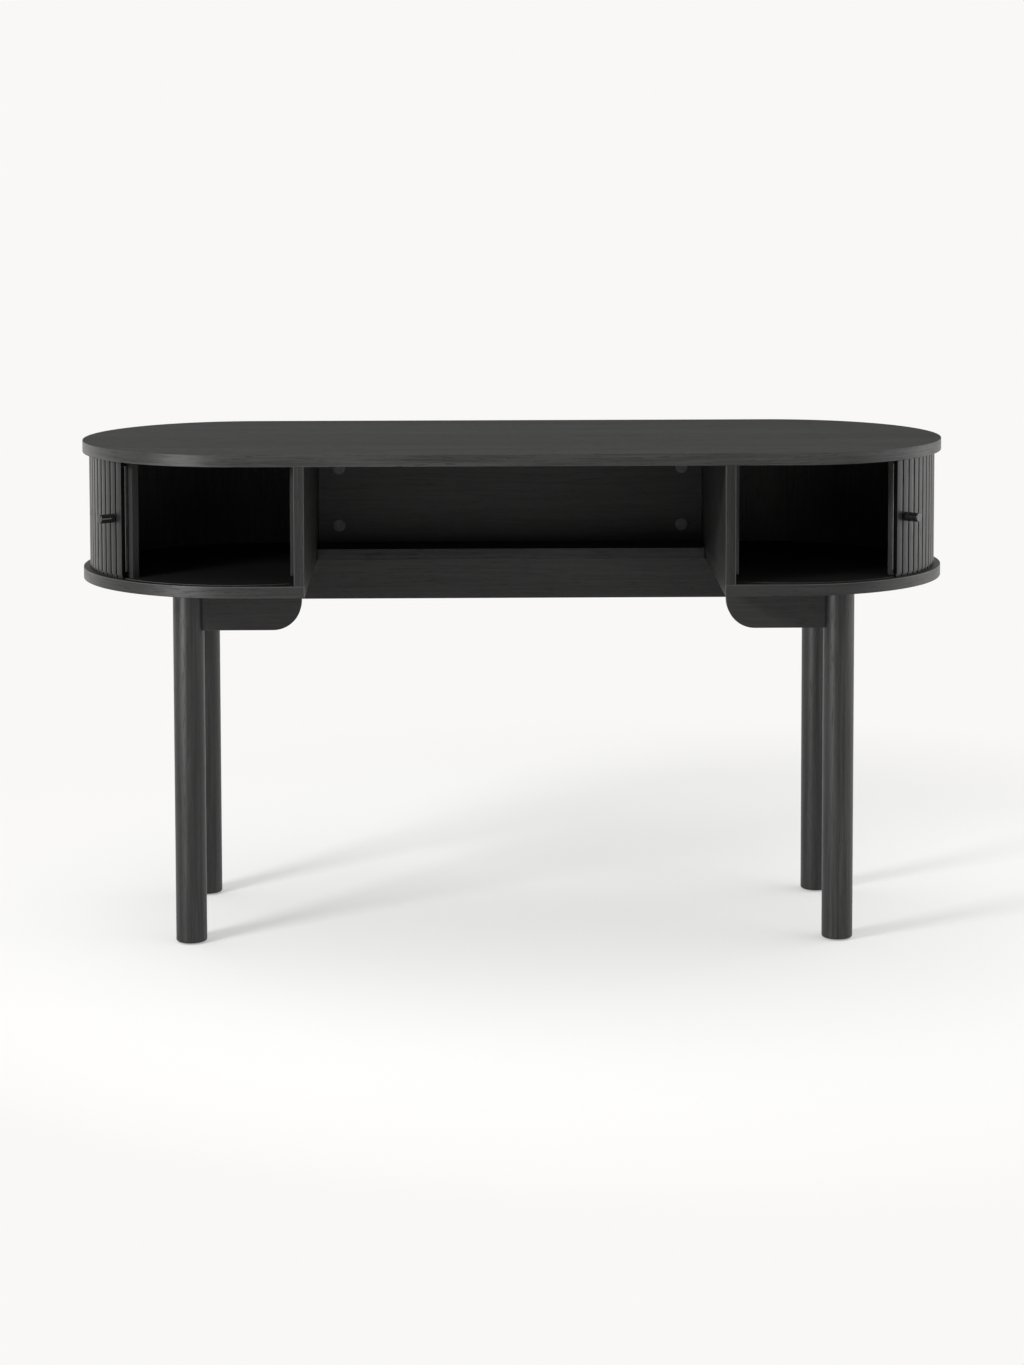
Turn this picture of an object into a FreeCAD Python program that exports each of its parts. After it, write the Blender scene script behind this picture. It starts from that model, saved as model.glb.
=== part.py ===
import FreeCAD, Part
import os
import re

# Tambour desk: a long board with half-round ends on two half-round cabinets and four round legs.
# Frame: +X to the right, +Y to the rear, +Z up, origin on the floor under the middle of the top.

# Driving sizes in millimetres, and degrees where the name ends in angle
sizes = {
    "desk_width": 1360,
    "desk_depth": 510,
    "desk_height": 772,
    "top_thickness": 18.5,
    "case_height": 218,
    "bottom_thickness": 18,
    "board_arris": 0.8,
    "cabinet_width": 361.5,
    "partition_thickness": 16,
    "slat_inset": 10.4,
    "slat_thickness": 7.2,
    "slat_width": 13.6,
    "slat_gap": 1.8,
    "slat_count": 33,
    "slat_bevel": 0.9,
    "slat_floor_gap": 4,
    "slat_top_gap": 2,
    "tongue_thickness": 4,
    "tongue_shoulder": 0.5,
    "tongue_end_gap": 1,
    "groove_depth": 6,
    "groove_side_gap": 0.5,
    "groove_end_angle": 0.8,
    "canvas_thickness": 0.8,
    "canvas_margin": 6,
    "glue_line": 0.1,
    "batten_thickness": 4.4,
    "liner_gap": 1.5,
    "liner_thickness": 12,
    "liner_start_angle": 44.4,
    "open_angle": 46.7,
    "lead_left_angle": 46.7,
    "lead_right_angle": 41.8,
    "knob_diameter": 14,
    "knob_length": 25,
    "knob_round": 1.2,
    "knob_screw_diameter": 4,
    "knob_screw_depth": 16,
    "stop_thickness": 6,
    "stop_width": 18,
    "stop_setback": 20,
    "stop_floor_gap": 12,
    "stop_end_round": 4,
    "door_end_gap": 4.5,
    "back_thickness": 16,
    "back_setback": 17,
    "ledge_notch_width": 1.5,
    "ledge_notch_depth": 8,
    "leg_diameter": 48,
    "leg_end_inset": 177.2,
    "leg_side_inset": 102.2,
    "leg_end_round": 3,
    "rail_height": 64,
    "rail_thickness": 20,
    "apron_inset": 9.5,
    "apron_corner_round": 44,
    "glide_height": 2,
    "glide_diameter": 24,
    "glide_nail_diameter": 3,
    "glide_nail_length": 14,
    "leg_bolt_diameter": 8,
    "leg_bolt_depth": 36,
    "insert_diameter": 12,
    "insert_length": 13,
    "dowel_diameter": 8,
    "dowel_edge_depth": 20,
    "dowel_face_depth": 10,
    "pin_diameter": 6,
    "pin_front_angle": 70,
    "pin_rear_angle": 130,
    "hole_gap": 0.15,
    "hole_end_gap": 0.4,
    "cam_setback": 34,
    "cam_low": 28,
    "cam_spacing": 96,
    "cam_diameter": 15,
    "cam_back_wall": 3.1,
    "cam_bolt_diameter": 6,
    "cam_bolt_depth": 11,
    "cover_diameter": 20,
    "cover_thickness": 1.2,
    "screw_diameter": 5,
    "screw_head_diameter": 9,
    "screw_head_height": 3,
    "screw_bite": 30,
    "screw_front_setback": 55,
    "screw_rear_setback": 155,
    "rail_screw_bite": 12,
    "rail_screw_depth": 30,
    "rail_screw_end_inset": 36,
    "rail_screw_dowel_gap": 8.4,
    "side_screw_spacing": 70,
    "rail_dowel_spacing": 32,
    "dowel_front_setback": 75,
    "dowel_rear_setback": 95,
    "ledge_dowel_spacing": 44,
    "overcut": 1,
}

doc = FreeCAD.newDocument("TambourDesk")
sheet = doc.addObject("Spreadsheet::Sheet", "Sizes")
for row, (alias, value) in enumerate(sizes.items(), start=1):
    sheet.set(f"A{row}", alias)
    sheet.set(f"B{row}", str(value))
    sheet.setAlias(f"B{row}", alias)
doc.recompute()

# Places worked out from the driving sizes, as expressions
half_depth = "(desk_depth / 2)"
end_x = "((desk_width - desk_depth) / 2)"
top_under = "(desk_height - top_thickness)"
bottom_under = "(desk_height - case_height)"
floor_top = f"({bottom_under} + bottom_thickness)"
room_height = f"({top_under} - {floor_top})"
bay_x = "(desk_width / 2 - cabinet_width)"
partition_x = f"({bay_x} + partition_thickness)"
back_rear = f"({half_depth} - back_setback)"
back_front = f"({back_rear} - back_thickness)"
leg_x = "(desk_width / 2 - leg_end_inset)"
leg_y = f"({half_depth} - leg_side_inset)"
rail_low = f"({bottom_under} - rail_height)"
rail_mid = f"({bottom_under} - rail_height / 2)"
rail_front = f"({leg_y} - rail_thickness / 2)"
ledge_depth = f"({back_rear} - {rail_front})"
apron_x = f"({bay_x} + apron_inset)"
slat_face = f"({half_depth} - slat_inset)"
slat_back = f"({slat_face} - slat_thickness)"
slat_mid = f"({slat_face} - slat_thickness / 2)"
slat_low = f"({floor_top} + slat_floor_gap)"
slat_tall = f"({room_height} - slat_floor_gap - slat_top_gap)"
tongue_low = f"({floor_top} - groove_depth + tongue_end_gap)"
tongue_tall = f"({room_height} + 2 * groove_depth - 2 * tongue_end_gap)"
canvas_face = f"({slat_back} - glue_line)"
canvas_back = f"({canvas_face} - canvas_thickness)"
batten_back = f"({canvas_back} - glue_line - batten_thickness)"
liner_face = f"({batten_back} - liner_gap)"
liner_back = f"({liner_face} - liner_thickness)"
groove_outer = f"({slat_mid} + tongue_thickness / 2 + groove_side_gap)"
groove_inner = f"({slat_mid} - tongue_thickness / 2 - groove_side_gap)"
half_slat_angle = f"(slat_width / 2 / {slat_face} * 180 / pi)"
pitch_angle = f"((slat_width + slat_gap) / {slat_face} * 180 / pi)"
door_angle = f"(slat_count * {pitch_angle} + 2 * {half_slat_angle})"
closed_reach = f"({end_x} - {partition_x} - stop_thickness - door_end_gap)"
closed_angle = f"(asin({closed_reach} / {slat_face}) / 1 deg)"
groove_start = f"(-{closed_angle} - groove_end_angle)"
groove_stop = f"(open_angle + {door_angle} + groove_end_angle)"
knob_z = f"({slat_low} + {slat_tall} / 2)"
lead_angle = {"left": "lead_left_angle", "right": "lead_right_angle"}
side_sign = {"left": -1, "right": 1}


def bound(text):
    """The expression with each size's name pointed at its cell."""
    return re.sub(r"[a-z_]+", lambda word: f"Sizes.{word[0]}" if word[0] in sizes else word[0], text)


def bind(item, **expressions):
    for name, text in expressions.items():
        item.setExpression(name, bound(text))


def put(item, x="0", y="0", z="0", turn=None, axis=(0, 0, 1)):
    """Places an object at x, y, z, turned about an axis by an expression in degrees."""
    if turn is not None:
        item.Placement.Rotation = FreeCAD.Rotation(FreeCAD.Vector(*axis), 1)
        item.setExpression("Placement.Rotation.Angle", bound(turn))
    for letter, text in zip("xyz", (x, y, z)):
        item.setExpression(f"Placement.Base.{letter}", bound(text))
    return item


def new_body(label):
    body = doc.addObject("PartDesign::Body", "Body")
    body.Label = label
    return body


def add_box(body, x, y, z, across, deep, tall):
    block = body.newObject("PartDesign::AdditiveBox", "Blank")
    bind(block, Length=across, Width=deep, Height=tall)
    return put(block, x, y, z)


def add_round(body, x, y, z, radius, tall, sweep="360", turn=None):
    block = body.newObject("PartDesign::AdditiveCylinder", "Round")
    bind(block, Radius=radius, Height=tall, Angle=sweep)
    return put(block, x, y, z, turn)


def bore(body, x, y, z, radius, tall, along="z"):
    """A round hole from x, y, z towards the positive direction of an axis."""
    hole = body.newObject("PartDesign::SubtractiveCylinder", "Bore")
    bind(hole, Radius=radius, Height=tall)
    return put(hole, x, y, z, *turned(along))


def turned(along):
    """The turn that lays an upright cylinder along an axis."""
    return {"x": ("90", (0, 1, 0)), "y": ("-90", (1, 0, 0)), "z": (None, (0, 0, 1))}[along]


def soften(body, radius="board_arris", flat="Z", pick=None):
    """Rounds the edges that lie square to an axis, or those that pick chooses."""
    doc.recompute()
    base = body.Tip
    level = pick or (lambda edge: getattr(edge.BoundBox, flat + "Length") < 1e-6)
    names = [f"Edge{i}" for i, edge in enumerate(base.Shape.Edges, start=1) if level(edge)]
    rounding = body.newObject("PartDesign::Fillet", "Arris")
    rounding.Base = (base, names)
    bind(rounding, Radius=radius)
    return body


def board(label, x, y, z, across, deep, tall, flat="Z"):
    body = new_body(label)
    add_box(body, x, y, z, across, deep, tall)
    return soften(body, flat=flat)


def rod(x, y, z, radius, tall, along="z"):
    """A loose cylinder from x, y, z towards the positive direction of an axis."""
    item = doc.addObject("Part::Cylinder", "Rod")
    bind(item, Radius=radius, Height=tall)
    return put(item, x, y, z, *turned(along))


def joined(items, label="Joined"):
    fused = doc.addObject("Part::MultiFuse", "Fused")
    fused.Shapes = items
    fused.Refine = True
    fused.Label = label
    return fused


def carved(base, tool, label):
    cut = doc.addObject("Part::Cut", "Carved")
    cut.Base = base
    cut.Tool = tool
    cut.Label = label
    return cut


def group(items, label):
    """Several like pieces in one node, each its own solid."""
    bunch = doc.addObject("Part::Compound", "Group")
    bunch.Links = items
    bunch.Label = label
    return bunch


def sector(side, start, stop, inner, outer, z, tall, label="Sector"):
    """A bent wall about a cabinet's end centre, between two angles counted from the front."""
    first = f"({start} - 90)" if side == "right" else f"(270 - {stop})"
    x = f"{side_sign[side]} * {end_x}"
    disc = doc.addObject("Part::Cylinder", "Disc")
    bind(disc, Radius=outer, Height=tall, Angle=f"{stop} - {start}")
    put(disc, x, "0", z, first)
    core = rod(x, "0", z, inner, tall)
    return carved(disc, core, label)


# Top: a board with half-round ends, with a track groove for each door in its underside
def make_top():
    blank = new_body("top_blank")
    add_box(blank, f"-{end_x}", f"-{half_depth}", top_under, f"2 * {end_x}", "desk_depth", "top_thickness")
    for sign in (-1, 1):
        add_round(blank, f"{sign} * {end_x}", "0", top_under, half_depth, "top_thickness",
                  "180", f"{-90 * sign}")
    soften(blank)
    for sign in (-1, 1):
        for y in dowel_rows:
            bore(blank, f"{sign} * ({bay_x} + partition_thickness / 2)", y, top_under,
                 dowel_hole, "dowel_face_depth + hole_end_gap")
    tracks = [sector(side, groove_start, groove_stop, groove_inner, groove_outer, top_under, "groove_depth")
              for side in side_sign]
    return carved(blank, joined(tracks), "top_panel")


# Cabinets: bottom panel, partition, bent liner and door stop on each side
dowel_hole = "(dowel_diameter / 2 + hole_gap)"
dowel_rows = [f"-{half_depth} + dowel_front_setback", f"{half_depth} - dowel_rear_setback"]
screw_rows = [f"-{half_depth} + screw_front_setback", f"{half_depth} - screw_rear_setback"]
ledge_rows = [f"{back_rear} - ({ledge_depth} + {step} * ledge_dowel_spacing) / 2" for step in (-1, 1)]


def pin_place(side, angle):
    """A liner pin's place, on the middle of the liner's wall."""
    reach = f"({liner_back} + liner_thickness / 2)"
    x = f"{side_sign[side]} * ({end_x} + {reach} * sin({angle} * 1 deg))"
    return x, f"-{reach} * cos({angle} * 1 deg)"


def inner_end(sign, reach):
    """The low X of a stretch that starts at the bay's side and runs outwards by reach."""
    return f"{bay_x}" if sign > 0 else f"-{bay_x} - ({reach})"


def make_bottom(side):
    sign = side_sign[side]
    blank = new_body(f"bottom_blank_{side}")
    reach = f"({end_x} - {bay_x})"
    add_box(blank, inner_end(sign, reach), f"-{half_depth}", bottom_under, reach, "desk_depth",
            "bottom_thickness")
    add_round(blank, f"{sign} * {end_x}", "0", bottom_under, half_depth, "bottom_thickness",
              "180", f"{-90 * sign}")
    soften(blank)
    middle = f"{sign} * ({bay_x} + partition_thickness / 2)"
    for y in screw_rows:
        bore(blank, middle, y, bottom_under, "screw_diameter / 2 + hole_gap", "bottom_thickness")
        bore(blank, middle, y, bottom_under, "screw_head_diameter / 2 + hole_gap",
             "screw_head_height + hole_gap")
    for angle in ("pin_front_angle", "pin_rear_angle"):
        x, y = pin_place(side, angle)
        bore(blank, x, y, f"{floor_top} - dowel_face_depth - hole_end_gap", "pin_diameter / 2 + hole_gap",
             "dowel_face_depth + hole_end_gap")
    for y in (f"-{leg_y}", leg_y):
        bore(blank, f"{sign} * {leg_x}", y, bottom_under, "insert_diameter / 2 + hole_gap",
             "insert_length + hole_end_gap")
    deep = "(dowel_edge_depth + hole_end_gap)"
    for y in ledge_rows:
        bore(blank, inner_end(sign, deep), y, f"{bottom_under} + bottom_thickness / 2", dowel_hole, deep, "x")
    for x, y in rail_screw_places(side):
        bore(blank, x, y, bottom_under, "screw_diameter / 2 + hole_gap", "rail_screw_bite + hole_end_gap")
    track = sector(side, groove_start, groove_stop, groove_inner, groove_outer,
                   f"{floor_top} - groove_depth", "groove_depth")
    return carved(blank, track, f"bottom_panel_{side}")


def make_partition(side):
    sign = side_sign[side]
    deep = f"({half_depth} + {back_rear})"
    body = board(f"partition_{side}", inner_end(sign, "partition_thickness"), f"-{half_depth}", floor_top,
                 "partition_thickness", deep, room_height, "X")
    middle = f"{sign} * ({bay_x} + partition_thickness / 2)"
    for y in dowel_rows:
        bore(body, middle, y, f"{top_under} - dowel_edge_depth - hole_end_gap", dowel_hole,
             "dowel_edge_depth + hole_end_gap")
    for y in screw_rows:
        bore(body, middle, y, floor_top, "screw_diameter / 2 + hole_gap", "screw_bite + hole_end_gap")
    for z in cam_heights:
        bore(body, inner_end(sign, "cam_bolt_depth + hole_end_gap"), cam_bolt_y, z,
             "cam_bolt_diameter / 2 + hole_gap", "cam_bolt_depth + hole_end_gap", "x")
    bore(body, inner_end(sign, "dowel_face_depth + hole_end_gap"), cam_bolt_y, back_dowel_z,
         dowel_hole, "dowel_face_depth + hole_end_gap", "x")
    return body


def make_liner(side):
    sign = side_sign[side]
    bend = sector(side, "liner_start_angle", "180", liner_back, liner_face, floor_top, room_height)
    run = doc.addObject("Part::Box", "Run")
    reach = f"({end_x} - {partition_x})"
    bind(run, Length=reach, Width="liner_thickness", Height=room_height)
    put(run, partition_x if sign > 0 else f"-{end_x}", liner_back, floor_top)
    wall = joined([bend, run])
    holes = []
    for angle in ("pin_front_angle", "pin_rear_angle"):
        x, y = pin_place(side, angle)
        holes.append(rod(x, y, floor_top, "pin_diameter / 2 + hole_gap", "dowel_edge_depth + hole_end_gap"))
    return carved(wall, joined(holes), f"liner_{side}")


def make_stop(side):
    sign = side_sign[side]
    x = partition_x if sign > 0 else f"-{partition_x} - stop_thickness"
    body = new_body(f"door_stop_{side}")
    add_box(body, x, f"-{half_depth} + stop_setback", f"{floor_top} + stop_floor_gap",
            "stop_thickness", "stop_width", f"{room_height} - stop_floor_gap")
    doc.recompute()
    low = body.Tip.Shape.BoundBox.ZMin
    soften(body, "stop_end_round",
           pick=lambda edge: edge.BoundBox.ZMax < low + 1e-6 and edge.BoundBox.XLength > 1)
    return body


# Middle: back panel held by cams, and the ledge that it stands on
cam_heights = [f"{floor_top} + cam_low", f"{floor_top} + cam_low + cam_spacing"]
cam_bolt_y = f"({back_front} + back_thickness / 2)"
cam_x = f"({bay_x} - cam_setback)"
back_dowel_z = f"({floor_top} + cam_low + cam_spacing / 2)"
cam_bolt_reach = "(cam_setback - cam_diameter / 2 - hole_end_gap)"


def make_back():
    body = board("middle_back_panel", f"-{bay_x}", back_front, floor_top, f"2 * {bay_x}", "back_thickness",
                 room_height, "Y")
    for sign in (-1, 1):
        for z in cam_heights:
            bore(body, f"{sign} * {cam_x}", back_front, z, "cam_diameter / 2 + hole_gap",
                 "back_thickness - cam_back_wall", "y")
            bore(body, f"{bay_x} - cam_setback" if sign > 0 else f"-{bay_x}", cam_bolt_y, z,
                 "cam_bolt_diameter / 2 + hole_gap", "cam_setback", "x")
        deep = "(dowel_edge_depth + hole_end_gap)"
        bore(body, f"{bay_x} - {deep}" if sign > 0 else f"-{bay_x}", cam_bolt_y, back_dowel_z,
             dowel_hole, deep, "x")
    return body


def make_ledge():
    body = new_body("middle_ledge")
    add_box(body, f"-{bay_x}", rail_front, bottom_under, f"2 * {bay_x}", ledge_depth, "bottom_thickness")
    doc.recompute()
    high = body.Tip.Shape.BoundBox.ZMax
    soften(body, pick=lambda edge: edge.BoundBox.ZMin > high - 1e-6)
    for x in (f"-{bay_x} - overcut", f"{bay_x} - ledge_notch_width"):
        notch = body.newObject("PartDesign::SubtractiveBox", "Notch")
        bind(notch, Length="ledge_notch_width + overcut", Width="ledge_notch_depth + overcut",
             Height="bottom_thickness + 2 * overcut")
        put(notch, x, f"{rail_front} - overcut", f"{bottom_under} - overcut")
    deep = "(dowel_edge_depth + hole_end_gap)"
    for y in ledge_rows:
        for x in (f"-{bay_x}", f"{bay_x} - {deep}"):
            bore(body, x, y, f"{bottom_under} + bottom_thickness / 2", dowel_hole, deep, "x")
    return body


# Stand: legs, rails and aprons
leg_places = {"front_left": (-1, -1), "front_right": (1, -1), "rear_left": (-1, 1), "rear_right": (1, 1)}
rail_dowel_levels = {"x": [f"{rail_mid} + {step} * rail_dowel_spacing / 2" for step in (-1, 1)],
                     "y": [rail_mid]}
dowel_start = "(leg_diameter / 2 - dowel_face_depth)"
dowel_reach = "(dowel_face_depth + dowel_edge_depth)"


def rail_dowel(sign_x, sign_y, along, z, grow=""):
    """Low end, place and length of a dowel from a leg into the rail beside it; grow lengthens it."""
    towards = -sign_x if along == "x" else -sign_y
    start = f"({dowel_start}{' - ' + grow if grow else ''})"
    length = f"({dowel_reach}{' + 2 * ' + grow if grow else ''})"
    offset = start if towards > 0 else f"(-{start} - {length})"
    x = f"{sign_x} * {leg_x}" + (f" + {offset}" if along == "x" else "")
    y = f"{sign_y} * {leg_y}" + (f" + {offset}" if along == "y" else "")
    return x, y, z, length


def make_leg(place):
    sign_x, sign_y = leg_places[place]
    body = new_body(f"leg_{place}")
    x = f"{sign_x} * {leg_x}"
    y = f"{sign_y} * {leg_y}"
    add_round(body, x, y, "glide_height", "leg_diameter / 2", f"{bottom_under} - glide_height")
    doc.recompute()
    low = body.Tip.Shape.BoundBox.ZMin
    soften(body, "leg_end_round", pick=lambda edge: edge.BoundBox.ZMax < low + 1e-6)
    bore(body, x, y, f"{bottom_under} - leg_bolt_depth - hole_end_gap", "leg_bolt_diameter / 2 + hole_gap",
         "leg_bolt_depth + hole_end_gap")
    bore(body, x, y, "glide_height", "glide_nail_diameter / 2 + hole_gap", "glide_nail_length + hole_end_gap")
    for along, levels in rail_dowel_levels.items():
        for level in levels:
            dowel_x, dowel_y, z, length = rail_dowel(sign_x, sign_y, along, level, "hole_end_gap")
            bore(body, dowel_x, dowel_y, z, dowel_hole, length, along)
    return body


def fit_to_legs(body, ends):
    """Copes a rail round its legs and bores its dowel holes; ends are leg signs and the rail's run."""
    for sign_x, sign_y, along in ends:
        bore(body, f"{sign_x} * {leg_x}", f"{sign_y} * {leg_y}", f"{rail_low} - overcut",
             "leg_diameter / 2 + hole_gap", "rail_height + 2 * overcut")
        for level in rail_dowel_levels[along]:
            x, y, z, length = rail_dowel(sign_x, sign_y, along, level, "hole_end_gap")
            bore(body, x, y, z, dowel_hole, length, along)
    return body


def rail_screw_places(side):
    """Places of the screws that hold the rails of one side to its bottom panel."""
    sign = side_sign[side]
    reaches = (f"({apron_x} + rail_screw_end_inset)",
               f"({leg_x} - {dowel_start} - {dowel_reach} - rail_screw_dowel_gap)")
    places = [(f"{sign} * {reach}", f"{sign_y} * {leg_y}") for sign_y in (-1, 1) for reach in reaches]
    places += [(f"{sign} * {leg_x}", f"{step} * side_screw_spacing / 2") for step in (-1, 1)]
    return places


def bore_rail_screws(body, places):
    for x, y in places:
        bore(body, x, y, rail_low, "screw_head_diameter / 2 + hole_gap", "rail_screw_depth")
        bore(body, x, y, rail_low, "screw_diameter / 2 + hole_gap", "rail_height")
    return body


def make_rear_rail():
    body = new_body("rear_rail")
    add_box(body, f"-{leg_x}", rail_front, rail_low, f"2 * {leg_x}", "rail_thickness", "rail_height")
    doc.recompute()
    low = body.Tip.Shape.BoundBox.ZMin
    soften(body, pick=lambda edge: edge.BoundBox.ZMax < low + 1e-6)
    fit_to_legs(body, [(-1, 1, "x"), (1, 1, "x")])
    return bore_rail_screws(body, rail_screw_places("left")[2:4] + rail_screw_places("right")[2:4])


def make_apron(side):
    sign = side_sign[side]
    body = new_body(f"front_apron_{side}")
    across = f"({leg_x} - {apron_x})"
    add_box(body, apron_x if sign > 0 else f"-{leg_x}", f"-{leg_y} - rail_thickness / 2", rail_low,
            across, "rail_thickness", "rail_height")
    doc.recompute()
    box = body.Tip.Shape.BoundBox
    inner = box.XMin if sign > 0 else box.XMax
    soften(body, "apron_corner_round", pick=lambda edge: edge.BoundBox.ZMax < box.ZMin + 1e-6
           and abs(edge.BoundBox.Center.x - inner) < 1e-6)
    soften(body, flat="Y")
    fit_to_legs(body, [(sign, -1, "x")])
    return bore_rail_screws(body, rail_screw_places(side)[:2])


def make_side_rail(side):
    sign = side_sign[side]
    body = board(f"side_rail_{side}", f"{sign} * {leg_x} - rail_thickness / 2", f"-{leg_y}", rail_low,
                 "rail_thickness", f"2 * {leg_y}", "rail_height", "X")
    fit_to_legs(body, [(sign, -1, "y"), (sign, 1, "y")])
    return bore_rail_screws(body, rail_screw_places(side)[4:])


# Doors: each is a curtain of slats on canvas, built at the front and turned about the cabinet's end centre
def hang(item, side, angle):
    """Turns a door piece from the front to its angle."""
    return put(item, f"{side_sign[side]} * {end_x}", "0", "0", f"{side_sign[side]} * ({angle})")


def lead_middle(side):
    return f"({lead_angle[side]} + {half_slat_angle})"


def knob_middle(side):
    """The angle of the second slat, which carries the knob."""
    return f"({lead_middle(side)} + {pitch_angle})"


def slat_blank(label):
    """One upright slat with bevelled front edges and a thin tongue at each end."""
    body = new_body(label)
    add_box(body, "-slat_width / 2", f"-{slat_face}", slat_low, "slat_width", "slat_thickness", slat_tall)
    doc.recompute()
    base = body.Tip
    front = base.Shape.BoundBox.YMin
    names = [f"Edge{i}" for i, edge in enumerate(base.Shape.Edges, start=1)
             if edge.BoundBox.YMax < front + 1e-6 and edge.BoundBox.XLength < 1e-6]
    bevel = body.newObject("PartDesign::Chamfer", "Bevel")
    bevel.Base = (base, names)
    bind(bevel, Size="slat_bevel")
    add_box(body, "-slat_width / 2 + tongue_shoulder", f"-{slat_mid} - tongue_thickness / 2", tongue_low,
            "slat_width - 2 * tongue_shoulder", "tongue_thickness", tongue_tall)
    return body


def make_slats(side):
    body = slat_blank(f"slats_{side}")
    doc.recompute()
    row = body.newObject("PartDesign::PolarPattern", "Row")
    row.TransformMode = "Whole shape"
    row.Axis = (next(part for part in body.Origin.OriginFeatures if part.Role == "Z_Axis"), [""])
    row.Mode = "Spacing"
    row.Reversed = side == "left"
    bind(row, Occurrences="slat_count", Offset=pitch_angle)
    body.Tip = row
    bore(body, "0", f"-{slat_face} - overcut", knob_z, "knob_screw_diameter / 2 + hole_gap",
         "slat_thickness + 2 * overcut", "y")
    return hang(body, side, knob_middle(side))


def make_lead_slat(side):
    return hang(slat_blank(f"lead_slat_{side}"), side, lead_middle(side))


def make_batten(side):
    """A bent strip behind the first two slats, bored for the knob's screw and its head."""
    start = lead_angle[side]
    strip = sector(side, start, f"({knob_middle(side)} + {half_slat_angle})", batten_back,
                   f"({batten_back} + batten_thickness)", f"{slat_low} + canvas_margin",
                   f"{slat_tall} - 2 * canvas_margin")
    shank = rod("0", f"-{slat_back}", knob_z, "knob_screw_diameter / 2 + hole_gap",
                f"{slat_back} - {liner_face}", "y")
    head = rod("0", f"-{batten_back} - knob_screw_diameter / 2", knob_z, "knob_screw_diameter + hole_gap",
               "knob_screw_diameter / 2 + overcut", "y")
    holes = hang(joined([shank, head]), side, knob_middle(side))
    return carved(strip, holes, f"lead_batten_{side}")


def make_canvas(side):
    start = lead_angle[side]
    sheet_wall = sector(side, start, f"({start} + {door_angle})", canvas_back, canvas_face,
                        f"{slat_low} + canvas_margin", f"{slat_tall} - 2 * canvas_margin")
    hole = rod("0", f"-{slat_back}", knob_z, "knob_screw_diameter / 2 + hole_gap",
               "canvas_thickness + 2 * glue_line", "y")
    moved = group([hole], "canvas_hole")
    hang(moved, side, knob_middle(side))
    return carved(sheet_wall, moved, f"canvas_{side}")


def make_knob(side):
    body = new_body(f"knob_{side}")
    peg = body.newObject("PartDesign::AdditiveCylinder", "Peg")
    bind(peg, Radius="knob_diameter / 2", Height="knob_length")
    put(peg, "0", f"-{slat_face} - knob_length", knob_z, *turned("y"))
    doc.recompute()
    tip = peg.Shape.BoundBox.YMin
    soften(body, "knob_round", pick=lambda edge: edge.BoundBox.YMax < tip + 1e-6)
    bore(body, "0", f"-{slat_face} - knob_screw_depth - hole_end_gap", knob_z,
         "knob_screw_diameter / 2 + hole_gap", "knob_screw_depth + hole_end_gap", "y")
    return hang(body, side, knob_middle(side))


def make_knob_screw(side):
    body = new_body(f"knob_screw_{side}")
    for radius, start, length in (
            ("knob_screw_diameter / 2", f"{slat_face} + knob_screw_depth",
             f"{slat_face} + knob_screw_depth - {batten_back}"),
            ("knob_screw_diameter", f"{batten_back} + knob_screw_diameter / 2", "knob_screw_diameter / 2")):
        shank = body.newObject("PartDesign::AdditiveCylinder", "Shank")
        bind(shank, Radius=radius, Height=length)
        put(shank, "0", f"-({start})", knob_z, *turned("y"))
    return hang(body, side, knob_middle(side))


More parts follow.
